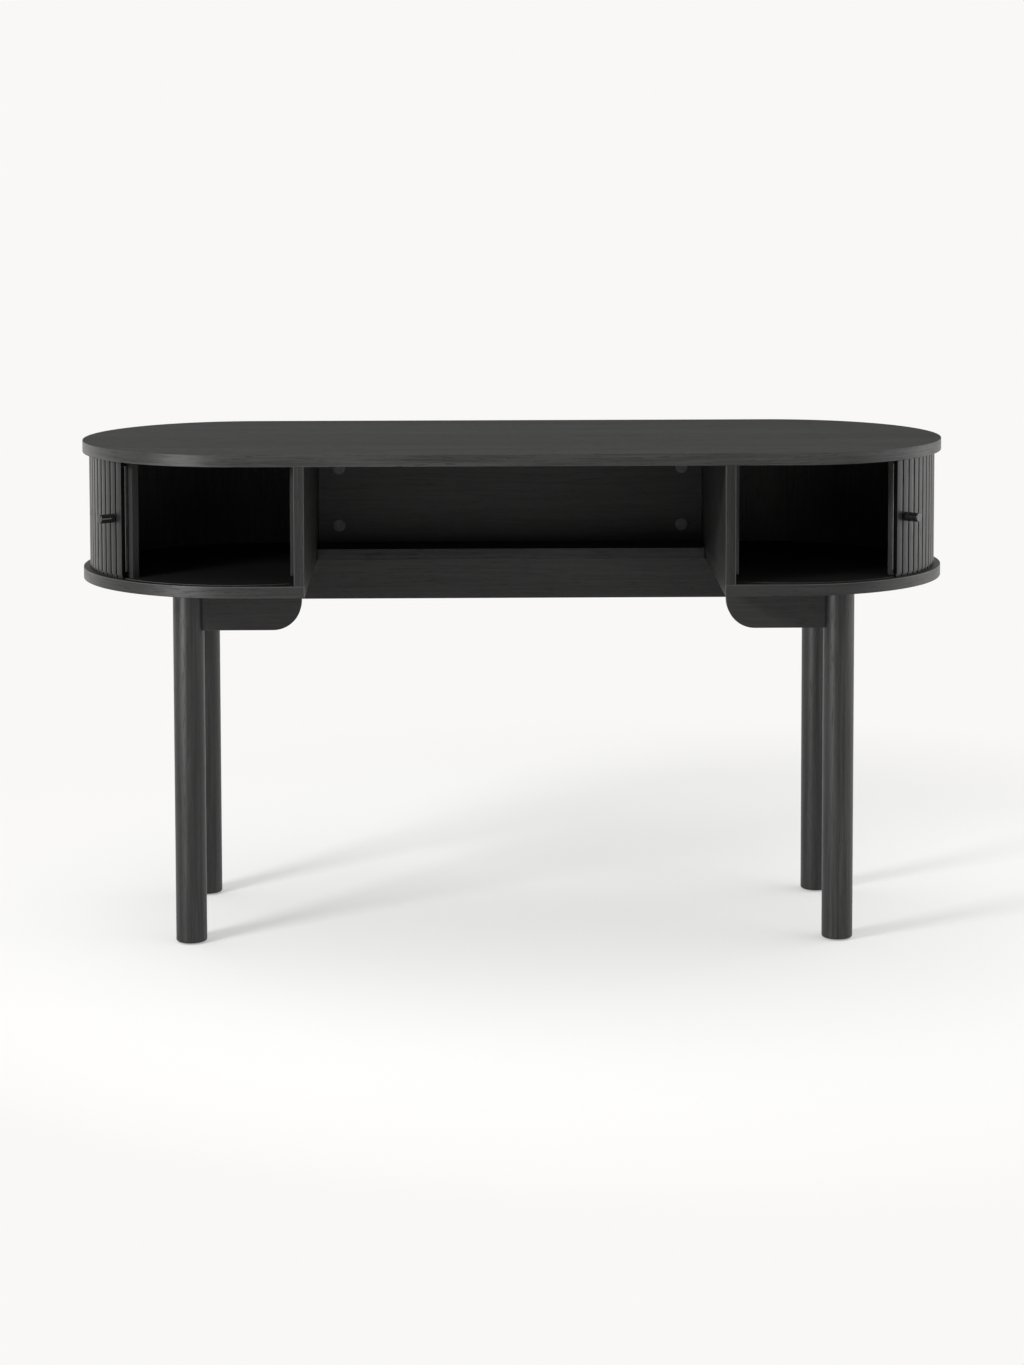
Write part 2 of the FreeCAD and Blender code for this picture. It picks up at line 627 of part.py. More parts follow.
# Fasteners and fittings, each kind one group of like pieces
def make_fittings():
    made = []
    sides = side_sign.items()
    middle = f"({bay_x} + partition_thickness / 2)"
    radius = "dowel_diameter / 2"
    dowels = [rod(f"{sign} * {middle}", y, f"{top_under} - dowel_edge_depth", radius, dowel_reach)
              for _, sign in sides for y in dowel_rows]
    dowels += [rod(f"{sign} * {bay_x} - dowel_edge_depth", y, f"{bottom_under} + bottom_thickness / 2", radius,
                   "2 * dowel_edge_depth", "x") for _, sign in sides for y in ledge_rows]
    dowels += [rod(f"{bay_x} - dowel_edge_depth" if sign > 0 else f"-{bay_x} - dowel_face_depth", cam_bolt_y,
                   back_dowel_z, radius, dowel_reach, "x") for _, sign in sides]
    made.append(group(dowels, "panel_dowels"))
    pins = []
    for side, _ in sides:
        for angle in ("pin_front_angle", "pin_rear_angle"):
            x, y = pin_place(side, angle)
            pins.append(rod(x, y, f"{floor_top} - dowel_face_depth", "pin_diameter / 2", dowel_reach))
    made.append(group(pins, "liner_pins"))
    pegs = []
    rail_ends = [(sx, sy, along) for sx, sy in leg_places.values() for along in "xy"]
    for sign_x, sign_y, along in rail_ends:
        for level in rail_dowel_levels[along]:
            x, y, z, length = rail_dowel(sign_x, sign_y, along, level)
            pegs.append(rod(x, y, z, radius, length, along))
    made.append(group(pegs, "rail_dowels"))
    screws = []
    for _, sign in sides:
        for y in screw_rows:
            x = f"{sign} * {middle}"
            head = rod(x, y, bottom_under, "screw_head_diameter / 2", "screw_head_height")
            shank = rod(x, y, bottom_under, "screw_diameter / 2", "bottom_thickness + screw_bite")
            screws.append(joined([head, shank]))
    made.append(group(screws, "case_screws"))
    rail_screws = []
    for side, _ in sides:
        for x, y in rail_screw_places(side):
            seat = f"{rail_low} + rail_screw_depth"
            head = rod(x, y, f"{seat} - screw_head_height", "screw_head_diameter / 2", "screw_head_height")
            shank = rod(x, y, f"{seat} - screw_head_height", "screw_diameter / 2",
                        "screw_head_height + rail_height - rail_screw_depth + rail_screw_bite")
            rail_screws.append(joined([head, shank]))
    made.append(group(rail_screws, "rail_screws"))
    bolts = []
    inserts = []
    glides = []
    for sign_x, sign_y in leg_places.values():
        x = f"{sign_x} * {leg_x}"
        y = f"{sign_y} * {leg_y}"
        bolts.append(rod(x, y, f"{bottom_under} - leg_bolt_depth", "leg_bolt_diameter / 2",
                         "leg_bolt_depth + insert_length - hole_end_gap"))
        sleeve = rod(x, y, bottom_under, "insert_diameter / 2", "insert_length")
        thread = rod(x, y, bottom_under, "leg_bolt_diameter / 2 + hole_gap", "insert_length")
        inserts.append(carved(sleeve, thread, "insert"))
        pad = rod(x, y, "0", "glide_diameter / 2", "glide_height")
        nail = rod(x, y, "0", "glide_nail_diameter / 2", "glide_height + glide_nail_length")
        glides.append(joined([pad, nail]))
    made.append(group(bolts, "leg_bolts"))
    made.append(group(inserts, "leg_inserts"))
    made.append(group(glides, "foot_glides"))
    discs = []
    covers = []
    cam_bolts = []
    for _, sign in sides:
        for z in cam_heights:
            discs.append(rod(f"{sign} * {cam_x}", back_front, z, "cam_diameter / 2",
                             "back_thickness - cam_back_wall - hole_end_gap", "y"))
            covers.append(rod(f"{sign} * {cam_x}", f"{back_front} - cover_thickness", z, "cover_diameter / 2",
                              "cover_thickness", "y"))
            low_x = f"{bay_x} - {cam_bolt_reach}" if sign > 0 else f"-{bay_x} - cam_bolt_depth"
            cam_bolts.append(rod(low_x, cam_bolt_y, z, "cam_bolt_diameter / 2",
                                 f"cam_bolt_depth + {cam_bolt_reach}", "x"))
    made.append(group(discs, "cam_discs"))
    made.append(group(covers, "cam_covers"))
    made.append(group(cam_bolts, "cam_bolts"))
    return made


nodes = [make_top(), make_back(), make_ledge(), make_rear_rail()]
side_makers = (make_bottom, make_partition, make_liner, make_stop, make_apron, make_side_rail, make_slats,
               make_lead_slat, make_batten, make_canvas, make_knob, make_knob_screw)
nodes += [make(side) for make in side_makers for side in side_sign]
nodes += [make_leg(place) for place in leg_places]
nodes += make_fittings()
doc.recompute()

for item in doc.Objects:
    if "Invalid" in item.State or "Error" in item.State:
        raise RuntimeError(f"{item.Label} failed: {item.State}")
for node in nodes:
    if node.Shape.isNull() or not node.Shape.isValid():
        raise RuntimeError(f"{node.Label} has no valid shape")

os.makedirs("parts", exist_ok=True)
for node in nodes:
    node.Shape.exportStep(f"parts/{node.Label}.step")
print(len(nodes), "nodes written")
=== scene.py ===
import math

import bmesh
import bpy
from mathutils import Matrix, Vector


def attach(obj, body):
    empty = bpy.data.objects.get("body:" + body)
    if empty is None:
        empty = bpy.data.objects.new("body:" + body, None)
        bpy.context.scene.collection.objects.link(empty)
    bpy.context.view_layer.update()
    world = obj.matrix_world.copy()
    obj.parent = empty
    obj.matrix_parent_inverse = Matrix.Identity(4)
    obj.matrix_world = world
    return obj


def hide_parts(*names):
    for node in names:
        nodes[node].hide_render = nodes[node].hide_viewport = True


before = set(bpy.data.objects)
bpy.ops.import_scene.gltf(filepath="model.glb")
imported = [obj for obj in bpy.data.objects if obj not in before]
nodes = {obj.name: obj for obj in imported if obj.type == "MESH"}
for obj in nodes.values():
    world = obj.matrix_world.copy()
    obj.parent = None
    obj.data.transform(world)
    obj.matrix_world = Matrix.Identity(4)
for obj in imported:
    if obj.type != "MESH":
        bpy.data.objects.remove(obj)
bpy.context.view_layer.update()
print("frame loaded:", len(nodes), "nodes")

sides = {"left": -1, "right": 1}


# small helpers for node trees
def addNode(tree, kind, settings=None, feeds=None):
    node = tree.nodes.new(kind)
    for name, value in (settings or {}).items():
        setattr(node, name, value)
    for name, value in (feeds or {}).items():
        if isinstance(value, bpy.types.NodeSocket):
            tree.links.new(value, node.inputs[name])
        else:
            node.inputs[name].default_value = value
    return node


def calc(tree, operation, first, second=0.0, clamp=False):
    return addNode(tree, "ShaderNodeMath", {"operation": operation, "use_clamp": clamp},
                   {0: first, 1: second}).outputs[0]


def vectorCalc(tree, operation, feeds):
    return addNode(tree, "ShaderNodeVectorMath", {"operation": operation}, feeds).outputs[0]


def split(tree, vector):
    return addNode(tree, "ShaderNodeSeparateXYZ", None, {0: vector}).outputs


def combine(tree, feeds):
    return addNode(tree, "ShaderNodeCombineXYZ", None, feeds).outputs[0]


def remap(tree, value, fromLow, fromHigh, toLow, toHigh):
    return addNode(tree, "ShaderNodeMapRange", {"clamp": True},
                   {"Value": value, "From Min": fromLow, "From Max": fromHigh,
                    "To Min": toLow, "To Max": toHigh}).outputs["Result"]


def blendColor(tree, factor, first, second):
    mix = addNode(tree, "ShaderNodeMix", {"data_type": "RGBA"})
    for socket, value in zip((mix.inputs[0], mix.inputs[6], mix.inputs[7]), (factor, first, second)):
        if isinstance(value, bpy.types.NodeSocket):
            tree.links.new(value, socket)
        else:
            socket.default_value = value
    return mix.outputs[2]


def noise(tree, coords, scale, detail=3.0, rough=0.55):
    # a single number is an even scale, three numbers stretch the pattern
    if not isinstance(scale, tuple):
        scale = (scale, scale, scale)
    stretched = addNode(tree, "ShaderNodeMapping", None, {"Vector": coords, "Scale": scale}).outputs[0]
    return addNode(tree, "ShaderNodeTexNoise", None,
                   {"Vector": stretched, "Scale": 1.0, "Detail": detail, "Roughness": rough}).outputs["Fac"]


def objectPlace(tree):
    return addNode(tree, "ShaderNodeTexCoord").outputs["Object"]


def newFinish(name):
    finish = bpy.data.materials.new(name)
    finish.use_nodes = True
    tree = finish.node_tree
    shader = tree.nodes["Principled BSDF"]
    return finish, tree, shader


def dress(tree, shader, color, rough, height, look):
    # colour, roughness and fine relief of one finish
    tree.links.new(color, shader.inputs["Base Color"])
    tree.links.new(rough, shader.inputs["Roughness"])
    bump = addNode(tree, "ShaderNodeBump", None,
                   {"Height": height, "Strength": look["bumpStrength"], "Distance": look["bumpDepth"]})
    tree.links.new(bump.outputs[0], shader.inputs["Normal"])


def gray(level, warm=0.0):
    return (level * (1 + warm), level, level * (1 - warm), 1.0)


# black stained oak: the grain runs along one axis, pores and streaks follow it
oakLook = {
    "dark": 0.018,
    "light": 0.042,
    "pore": 0.012,
    "warm": 0.015,
    "worn": 0.085,
    "wornWarm": 0.02,
    "wornShare": 0.35,
    "wornPatches": 60.0,
    "gloss": 0.125,
    "bandsAlong": 1.3,
    "bandsAcross": 15.0,
    "streaksAlong": 5.0,
    "streaksAcross": 210.0,
    "streakShare": 0.62,
    "poresAlong": 42.0,
    "poresAcross": 560.0,
    "poreRange": (0.57, 0.68),
    "poreShare": 0.7,
    "wander": 0.010,
    "wanderScale": 3.5,
    "figureLow": 0.36,
    "figureHigh": 0.64,
    "roughLow": 0.40,
    "roughHigh": 0.56,
    "flatRough": 0.0,
    "flatTone": 1.0,
    "bumpStrength": 0.55,
    "bumpDepth": 0.00025,
    # pale edge line: partly rubbed wear, partly painted highlight
    "rubAndGlintTone": 0.15,
    "rubAndGlintWidth": 0.0015,
    "rubAndGlintShare": 0.7,
    "toneRange": (0.80, 1.22),  # of slats among each other
    "grainJump": 9.0,  # metres of grain between the palest and the darkest slat
}
rim = {"endX": 0.425, "radius": 0.255}  # half-round ends of the top and the bottom panels
# how squarely a surface faces an axis, as the ranges over which the masks below fade
facingRange = {"worn": (0.80, 0.97), "broad": (0.6, 0.95), "square": (0.3, 0.7)}


def grainScale(axis, along, across):
    return tuple(along if letter == axis else across for letter in "XYZ")


def edgeMask(tree, coords, flat):
    # the worn edge is where the surface faces no axis squarely; a flat board's rim may face any way around
    sizes = [calc(tree, "ABSOLUTE", part) for part in split(tree, coords.outputs["Normal"])]
    if flat:
        squares = [calc(tree, "MULTIPLY", part, part) for part in sizes]
        level = calc(tree, "SQRT", calc(tree, "ADD", squares[0], squares[1]))
        facing = calc(tree, "MAXIMUM", level, sizes[2])
    else:
        facing = calc(tree, "MAXIMUM", calc(tree, "MAXIMUM", sizes[0], sizes[1]), sizes[2])
    return remap(tree, facing, *facingRange["worn"], 1.0, 0.0)


def broadMask(tree, coords):
    upright = split(tree, coords.outputs["Normal"])[2]
    return remap(tree, calc(tree, "ABSOLUTE", upright), *facingRange["broad"], 0.0, 1.0)


def rubAndGlintMask(tree, coords, planes, width):
    # a thin pale line on a face, where it meets one of the given planes at a right angle: partly rubbed wear,
    # partly a painted highlight standing for light caught on the edge
    places = split(tree, coords.outputs["Object"])
    normals = split(tree, coords.outputs["Normal"])
    mask = 0.0
    for axis, plane in planes:
        away = calc(tree, "ABSOLUTE", calc(tree, "SUBTRACT", calc(tree, "ABSOLUTE", places[axis]), plane))
        square = remap(tree, calc(tree, "ABSOLUTE", normals[axis]), *facingRange["square"], 1.0, 0.0)
        line = calc(tree, "MULTIPLY", remap(tree, away, 0.0, width, 1.0, 0.0), square)
        mask = calc(tree, "MAXIMUM", mask, line)
    return mask


def rimPlace(tree, place):
    # measures along the rim instead of along X, so that edge veneer bends round the ends
    x, y, z = split(tree, place)
    past = calc(tree, "MAXIMUM", calc(tree, "SUBTRACT", calc(tree, "ABSOLUTE", x), rim["endX"]), 0.0)
    turn = calc(tree, "ARCTAN2", past, calc(tree, "ABSOLUTE", y))
    straight = calc(tree, "MINIMUM", calc(tree, "ABSOLUTE", x), rim["endX"])
    along = calc(tree, "ADD", straight, calc(tree, "MULTIPLY", turn, rim["radius"]))
    along = calc(tree, "MULTIPLY", along, calc(tree, "SIGN", x))
    front = calc(tree, "MULTIPLY", calc(tree, "SIGN", y), 0.4)  # front and back get different grain
    return combine(tree, {"X": along, "Y": front, "Z": z})


def oakFinish(name, axis, tone=1.0, flat=True, worn=True, varied=None, banded=False, rubAndGlintEdges=(), **changes):
    look = dict(oakLook, **changes)
    finish, tree, shader = newFinish(name)
    shader.inputs["Specular IOR Level"].default_value = look["gloss"]
    coords = addNode(tree, "ShaderNodeTexCoord")
    place = coords.outputs["Object"]
    shade = None
    if varied:  # each slat is cut from another stretch of grain
        shade = addNode(tree, "ShaderNodeAttribute", {"attribute_name": varied}).outputs["Fac"]
        jump = combine(tree, {"Z": calc(tree, "MULTIPLY", shade, look["grainJump"])})
        place = vectorCalc(tree, "ADD", {0: place, 1: jump})
    broad = broadMask(tree, coords)
    if banded:  # the edge veneer has grain of its own
        onFace = calc(tree, "GREATER_THAN", broad, 0.5)
        mix = addNode(tree, "ShaderNodeMix", {"data_type": "VECTOR"}, {0: onFace})
        tree.links.new(rimPlace(tree, place), mix.inputs[4])
        tree.links.new(place, mix.inputs[5])
        place = mix.outputs[1]
    drift = addNode(tree, "ShaderNodeTexNoise", None,
                    {"Vector": place, "Scale": look["wanderScale"], "Detail": 2.0})
    centred = vectorCalc(tree, "SUBTRACT", {0: drift.outputs["Color"], 1: (0.5, 0.5, 0.5)})
    shifted = vectorCalc(tree, "SCALE", {0: centred, "Scale": look["wander"]})
    warped = vectorCalc(tree, "ADD", {0: place, 1: shifted})
    bands = noise(tree, warped, grainScale(axis, look["bandsAlong"], look["bandsAcross"]), 3.0)
    streaks = noise(tree, warped, grainScale(axis, look["streaksAlong"], look["streaksAcross"]), 5.0, 0.62)
    pores = noise(tree, warped, grainScale(axis, look["poresAlong"], look["poresAcross"]), 2.0, 0.5)
    figure = calc(tree, "ADD", calc(tree, "MULTIPLY", streaks, look["streakShare"]),
                  calc(tree, "MULTIPLY", bands, 1 - look["streakShare"]))
    figure = remap(tree, figure, look["figureLow"], look["figureHigh"], 0.0, 1.0)
    poreMask = remap(tree, pores, *look["poreRange"], 0.0, 1.0)
    color = blendColor(tree, figure, gray(look["dark"] * tone, look["warm"]),
                       gray(look["light"] * tone, look["warm"]))
    color = blendColor(tree, calc(tree, "MULTIPLY", poreMask, look["poreShare"]), color,
                       gray(look["pore"] * tone))
    if shade is not None:
        lift = remap(tree, shade, 0.0, 1.0, *look["toneRange"])
        color = vectorCalc(tree, "SCALE", {0: color, "Scale": lift})
    if worn:
        patchy = remap(tree, noise(tree, place, look["wornPatches"], 2.0), 0.35, 0.65, 0.2, 1.0)
        mask = calc(tree, "MULTIPLY", edgeMask(tree, coords, flat), patchy)
        color = blendColor(tree, calc(tree, "MULTIPLY", mask, look["wornShare"]), color,
                           gray(look["worn"] * tone, look["wornWarm"]))
    rough = remap(tree, calc(tree, "ADD", streaks, calc(tree, "MULTIPLY", poreMask, 0.5)), 0.3, 1.0,
                  look["roughLow"], look["roughHigh"])
    if look["flatRough"]:  # the broad faces are rougher and darker than the edges; on the bottom panels the strong darkening is painted shade, standing for the shade under the top
        rough = calc(tree, "ADD", rough, calc(tree, "MULTIPLY", broad, look["flatRough"]), True)
        broadFaceDarkening = remap(tree, broad, 0.0, 1.0, 1.0, look["flatTone"])
        color = vectorCalc(tree, "SCALE", {0: color, "Scale": broadFaceDarkening})
    # pale edge lines along the given planes: painted highlight with some rubbed wear
    if rubAndGlintEdges:
        line = rubAndGlintMask(tree, coords, rubAndGlintEdges, look["rubAndGlintWidth"])
        color = blendColor(tree, calc(tree, "MULTIPLY", line, look["rubAndGlintShare"]), color,
                           gray(look["rubAndGlintTone"], look["wornWarm"]))
    height = calc(tree, "SUBTRACT", calc(tree, "MULTIPLY", streaks, 0.5), poreMask)
    dress(tree, shader, color, rough, height, look)
    return finish


# turned knob: black lacquer over wood, faintly mottled
lacquerLook = {"dark": 0.006, "light": 0.014, "mottleScale": 240.0, "fineScale": 1800.0, "roughLow": 0.12,
               "roughHigh": 0.22, "gloss": 0.4, "bumpStrength": 0.2, "bumpDepth": 0.0001}


def lacquerFinish(name, look):
    finish, tree, shader = newFinish(name)
    place = objectPlace(tree)
    mottled = noise(tree, place, look["mottleScale"])
    fine = noise(tree, place, look["fineScale"], 2.0)
    color = blendColor(tree, remap(tree, mottled, 0.35, 0.65, 0.0, 1.0),
                       gray(look["dark"]), gray(look["light"]))
    rough = remap(tree, fine, 0.3, 0.7, look["roughLow"], look["roughHigh"])
    shader.inputs["Specular IOR Level"].default_value = look["gloss"]
    dress(tree, shader, color, rough, fine, look)
    return finish


# moulded plastic with a fine spark-eroded texture, for cover caps and glides
plasticLook = {"fineScale": 2600.0, "cloudScale": 90.0, "swing": 0.15,
               "bumpStrength": 0.3, "bumpDepth": 0.00012}
coverLook = dict(plasticLook, level=0.084, roughLow=0.6, roughHigh=0.75, gloss=0.15)
glideLook = dict(plasticLook, level=0.02, roughLow=0.45, roughHigh=0.6, gloss=0.5)


def plasticFinish(name, look):
    finish, tree, shader = newFinish(name)
    place = objectPlace(tree)
    fine = noise(tree, place, look["fineScale"], 2.0)
    cloud = noise(tree, place, look["cloudScale"])
    color = blendColor(tree, remap(tree, cloud, 0.35, 0.65, 0.0, 1.0),
                       gray(look["level"] * (1 - look["swing"])), gray(look["level"] * (1 + look["swing"])))
    rough = remap(tree, fine, 0.3, 0.7, look["roughLow"], look["roughHigh"])
    shader.inputs["Specular IOR Level"].default_value = look["gloss"]
    dress(tree, shader, color, rough, fine, look)
    return finish


# zinc plated steel: pale grey with blue-yellow clouding
zincLook = {"yellowish": (0.50, 0.50, 0.46, 1), "bluish": (0.60, 0.63, 0.66, 1), "cloudScale": 180.0,
            "roughLow": 0.28, "roughHigh": 0.48, "bumpStrength": 0.15, "bumpDepth": 0.0001}


def zincFinish(name, look):
    finish, tree, shader = newFinish(name)
    cloud = noise(tree, objectPlace(tree), look["cloudScale"], 4.0)
    color = blendColor(tree, remap(tree, cloud, 0.3, 0.7, 0.0, 1.0), look["yellowish"], look["bluish"])
    rough = remap(tree, cloud, 0.3, 0.7, look["roughLow"], look["roughHigh"])
    shader.inputs["Metallic"].default_value = 1.0
    dress(tree, shader, color, rough, cloud, look)
    return finish


# raw beech for dowels and pins, finely flecked
beechLook = {"dark": (0.42, 0.27, 0.15, 1), "light": (0.58, 0.41, 0.25, 1), "fleckScale": 500.0,
             "cloudScale": 60.0, "roughLow": 0.55, "roughHigh": 0.75, "bumpStrength": 0.3, "bumpDepth": 0.0002}


def beechFinish(name, look):
    finish, tree, shader = newFinish(name)
    place = objectPlace(tree)
    flecks = noise(tree, place, look["fleckScale"])
    cloud = noise(tree, place, look["cloudScale"], 2.0)
    figure = calc(tree, "ADD", calc(tree, "MULTIPLY", flecks, 0.5), calc(tree, "MULTIPLY", cloud, 0.5))
    color = blendColor(tree, remap(tree, figure, 0.35, 0.65, 0.0, 1.0), look["dark"], look["light"])
    rough = remap(tree, flecks, 0.3, 0.7, look["roughLow"], look["roughHigh"])
    dress(tree, shader, color, rough, flecks, look)
    return finish


# cotton canvas: a plain weave drawn in the sheet's own UV metres
canvasLook = {"threadPitch": 0.0009, "under": 0.014, "over": 0.032, "slub": 0.012, "slubScale": 160.0,
              "warm": 0.03, "edgePale": 0.22, "edgePaleWarm": 0.04, "edgePaleRange": (0.0002, 0.0006), "gloss": 0.25,
              "roughLow": 0.80, "roughHigh": 0.95, "bumpStrength": 0.5, "bumpDepth": 0.0003}


def canvasFinish(name, look):
    finish, tree, shader = newFinish(name)
    uv = addNode(tree, "ShaderNodeTexCoord").outputs["UV"]
    parts = split(tree, uv)
    turn = math.pi / look["threadPitch"]
    waves = [calc(tree, "SINE", calc(tree, "MULTIPLY", part, turn)) for part in parts[:2]]
    weave = calc(tree, "MULTIPLY", waves[0], waves[1])  # over and under change with each thread
    body = calc(tree, "ABSOLUTE", weave)
    slub = noise(tree, uv, look["slubScale"])
    color = blendColor(tree, remap(tree, weave, -1.0, 1.0, 0.0, 1.0),
                       gray(look["under"], look["warm"]), gray(look["over"], look["warm"]))
    color = blendColor(tree, remap(tree, slub, 0.35, 0.65, 0.0, 0.5), color, gray(look["slub"], look["warm"]))
    cut = remap(tree, parts[0], *look["edgePaleRange"], 1.0, 0.0)  # paler strip along the sheet's edge beside the lead slat
    color = blendColor(tree, cut, color, gray(look["edgePale"], look["edgePaleWarm"]))
    rough = remap(tree, slub, 0.3, 0.7, look["roughLow"], look["roughHigh"])
    shader.inputs["Specular IOR Level"].default_value = look["gloss"]
    dress(tree, shader, color, rough, body, look)
    return finish


# how each oak piece departs from the look above; each piece's tone is set to how bright it comes out where it
# stands, so the differences between pieces are partly painted light and shade; a rubAndGlint edge is an axis
# number and a plane in metres
boardPlanes = {"floorTop": (2, 0.572), "baySide": (0, 0.3185), "cabinetSide": (0, 0.3345)}
oakPieces = {
    "oakTop": {"axis": "X", "tone": 1.28, "gloss": 0.17, "roughLow": 0.34, "roughHigh": 0.46,
               "flatRough": 0.6, "flatTone": 0.56, "banded": True},
    # the broad faces here are darkened far down: painted shade on the cabinet floors under the top
    "oakBottom": {"axis": "X", "tone": 0.86, "gloss": 0.21, "roughLow": 0.34, "roughHigh": 0.46,
                  "flatRough": 0.2, "flatTone": 0.15, "banded": True,
                  "rubAndGlintEdges": [boardPlanes["floorTop"], boardPlanes["baySide"]]},
    "oakAlong": {"axis": "X", "tone": 0.75, "flatRough": 0.4},
    "oakRail": {"axis": "X", "tone": 1.05, "flat": False, "dark": 0.024, "light": 0.036, "poreShare": 0.3},
    "oakApron": {"axis": "X", "tone": 0.95, "flat": False, "dark": 0.024, "light": 0.036, "poreShare": 0.3},
    "oakPanel": {"axis": "X", "tone": 1.22, "flat": False, "gloss": 0.03, "dark": 0.026, "light": 0.034,
                 "poreShare": 0.2},
    "oakUp": {"axis": "Z", "tone": 0.75, "flat": False,
              "rubAndGlintEdges": [boardPlanes["cabinetSide"], boardPlanes["baySide"]]},
    "oakLeg": {"axis": "Z", "tone": 0.27, "worn": False, "gloss": 0.38, "light": 0.10, "figureLow": 0.44,
               "figureHigh": 0.66, "roughLow": 0.34, "roughHigh": 0.56},
    "oakDeep": {"axis": "Y", "flat": False},
    # door stops paler than the partitions: painted light, standing in for light on the stops set back in shade
    "oakStop": {"axis": "Z", "tone": 1.5, "flat": False, "gloss": 0.06},
    "oakSlat": {"axis": "Z", "tone": 0.45, "worn": False, "varied": "slatTone", "gloss": 0.26,
                "roughLow": 0.34, "roughHigh": 0.48},
    # slat sides facing the next slat: painted shade, darker to stand in for the shade in the gaps
    "oakGapShade": {"axis": "Z", "tone": 0.12, "worn": False, "varied": "slatTone", "gloss": 0.015,
               "roughLow": 0.6, "roughHigh": 0.8},
    "oakLiner": {"axis": "Z", "tone": 1.3, "worn": False, "gloss": 0.05, "dark": 0.024, "light": 0.036,
                 "poreShare": 0.4},
}
finishes = {name: oakFinish(name, **look) for name, look in oakPieces.items()}
finishes["knobLacquer"] = lacquerFinish("knobLacquer", lacquerLook)
finishes["coverPlastic"] = plasticFinish("coverPlastic", coverLook)
finishes["glidePlastic"] = plasticFinish("glidePlastic", glideLook)
finishes["zincSteel"] = zincFinish("zincSteel", zincLook)
finishes["beechDowel"] = beechFinish("beechDowel", beechLook)
finishes["canvasCloth"] = canvasFinish("canvasCloth", canvasLook)
print("finishes made:", len(finishes))

# which finish each carried-over piece wears
finishOf = {
    "oakTop": ["top_panel"],
    "oakBottom": ["bottom_panel_left", "bottom_panel_right"],
    "oakAlong": ["middle_ledge"],
    "oakRail": ["rear_rail"],
    "oakApron": ["front_apron_left", "front_apron_right"],
    "oakPanel": ["middle_back_panel"],
    "oakUp": ["partition_left", "partition_right", "lead_batten_left", "lead_batten_right"],
    "oakStop": ["door_stop_left", "door_stop_right"],
    "oakLeg": ["leg_front_left", "leg_front_right", "leg_rear_left", "leg_rear_right"],
    "oakDeep": ["side_rail_left", "side_rail_right"],
    "oakLiner": ["liner_left", "liner_right"],
    "knobLacquer": ["knob_left", "knob_right"],
    "zincSteel": ["leg_bolts", "leg_inserts", "cam_discs", "cam_bolts", "knob_screw_left",
                  "knob_screw_right"],
    "beechDowel": ["panel_dowels", "liner_pins", "rail_dowels"],
}
for finishName, names in finishOf.items():
    for name in names:
        nodes[name].data.materials.clear()
        nodes[name].data.materials.append(finishes[finishName])
print("carried-over pieces dressed:", sum(len(names) for names in finishOf.values()))

weldReach = 1e-6  # points nearer than this are one
sharpAngle = math.radians(30)  # steeper edges stay crisp


# geometry node trees: named inputs in, plain mesh out
def newTree(name, inputs):
    tree = bpy.data.node_groups.new(name, "GeometryNodeTree")
    kinds = {int: "NodeSocketInt", float: "NodeSocketFloat", tuple: "NodeSocketVector"}
    tree.interface.new_socket("Geometry", in_out="INPUT", socket_type="NodeSocketGeometry")
    for label, value in inputs.items():
        kind = kinds.get(type(value), "NodeSocketMaterial")
        tree.interface.new_socket(label, in_out="INPUT", socket_type=kind)
    tree.interface.new_socket("Geometry", in_out="OUTPUT", socket_type="NodeSocketGeometry")
    return tree, tree.nodes.new("NodeGroupInput").outputs, tree.nodes.new("NodeGroupOutput").inputs


def weld(tree, geometry):
    return addNode(tree, "GeometryNodeMergeByDistance", None,
                   {"Geometry": geometry, "Distance": weldReach}).outputs[0]


def move(tree, geometry, spot):
    return addNode(tree, "GeometryNodeTransform", None,
                   {"Geometry": geometry, "Translation": spot}).outputs[0]


def setFinish(tree, geometry, finish, **feeds):
    return addNode(tree, "GeometryNodeSetMaterial", None,
                   {"Geometry": geometry, "Material": finish, **feeds}).outputs[0]


def grow(name, tree, inputs, spots=()):
    start = bpy.data.meshes.new(name)
    start.from_pydata(spots, [], [])
    piece = bpy.data.objects.new(name, start)
    bpy.context.scene.collection.objects.link(piece)
    modifier = piece.modifiers.new(name, "NODES")
    modifier.node_group = tree
    for item in tree.interface.items_tree:
        if item.item_type == "SOCKET" and item.in_out == "INPUT" and item.name in inputs:
            modifier[item.identifier] = inputs[item.name]
    depsgraph = bpy.context.evaluated_depsgraph_get()
    mesh = bpy.data.meshes.new_from_object(piece.evaluated_get(depsgraph), depsgraph=depsgraph)
    piece.modifiers.clear()
    piece.data = mesh
    mesh.name = name
    form = bmesh.new()
    form.from_mesh(mesh)
    bmesh.ops.recalc_face_normals(form, faces=form.faces)
    form.to_mesh(mesh)
    form.free()
    mesh.shade_smooth()
    mesh.set_sharp_from_angle(angle=sharpAngle)
    return piece


# slats: one rounded stave with a tongue at each end, repeated round the end of the cabinet
slatRow = {
    "faceRadius": 0.2446,
    "width": 0.0136,
    "thickness": 0.0072,
    "gap": 0.0018,
    "count": 33,
    "edgeRound": 0.0011,
    "roundSteps": 3,
    "low": 0.576,
    "tall": 0.1755,
    "tongueLow": 0.567,
    "tongueTall": 0.1915,
    "tongueWidth": 0.0126,
    "tongueThick": 0.004,
    "endX": 0.425,
    "leadAngle": {"left": 46.7, "right": 41.8},
    "seed": {"left": 11, "right": 23},
    "sideFacing": 0.6,  # faces turned further to the next slat wear the darker gap finish, painted shade standing for the shade between the slats
}
slatInputs = {
    "Count": 1, "First Angle": 0.0, "Pitch": 0.0, "Face Radius": 0.1, "Width": 0.01, "Thickness": 0.01,
    "Edge Round": 0.001, "Low": 0.0, "Height": 0.1, "Tongue Low": 0.0, "Tongue Height": 0.1,
    "Tongue Width": 0.01, "Tongue Thickness": 0.004, "Centre": (0.0, 0.0, 0.0), "Seed": 0,
    "Finish": None, "Gap Shade Finish": None,
}


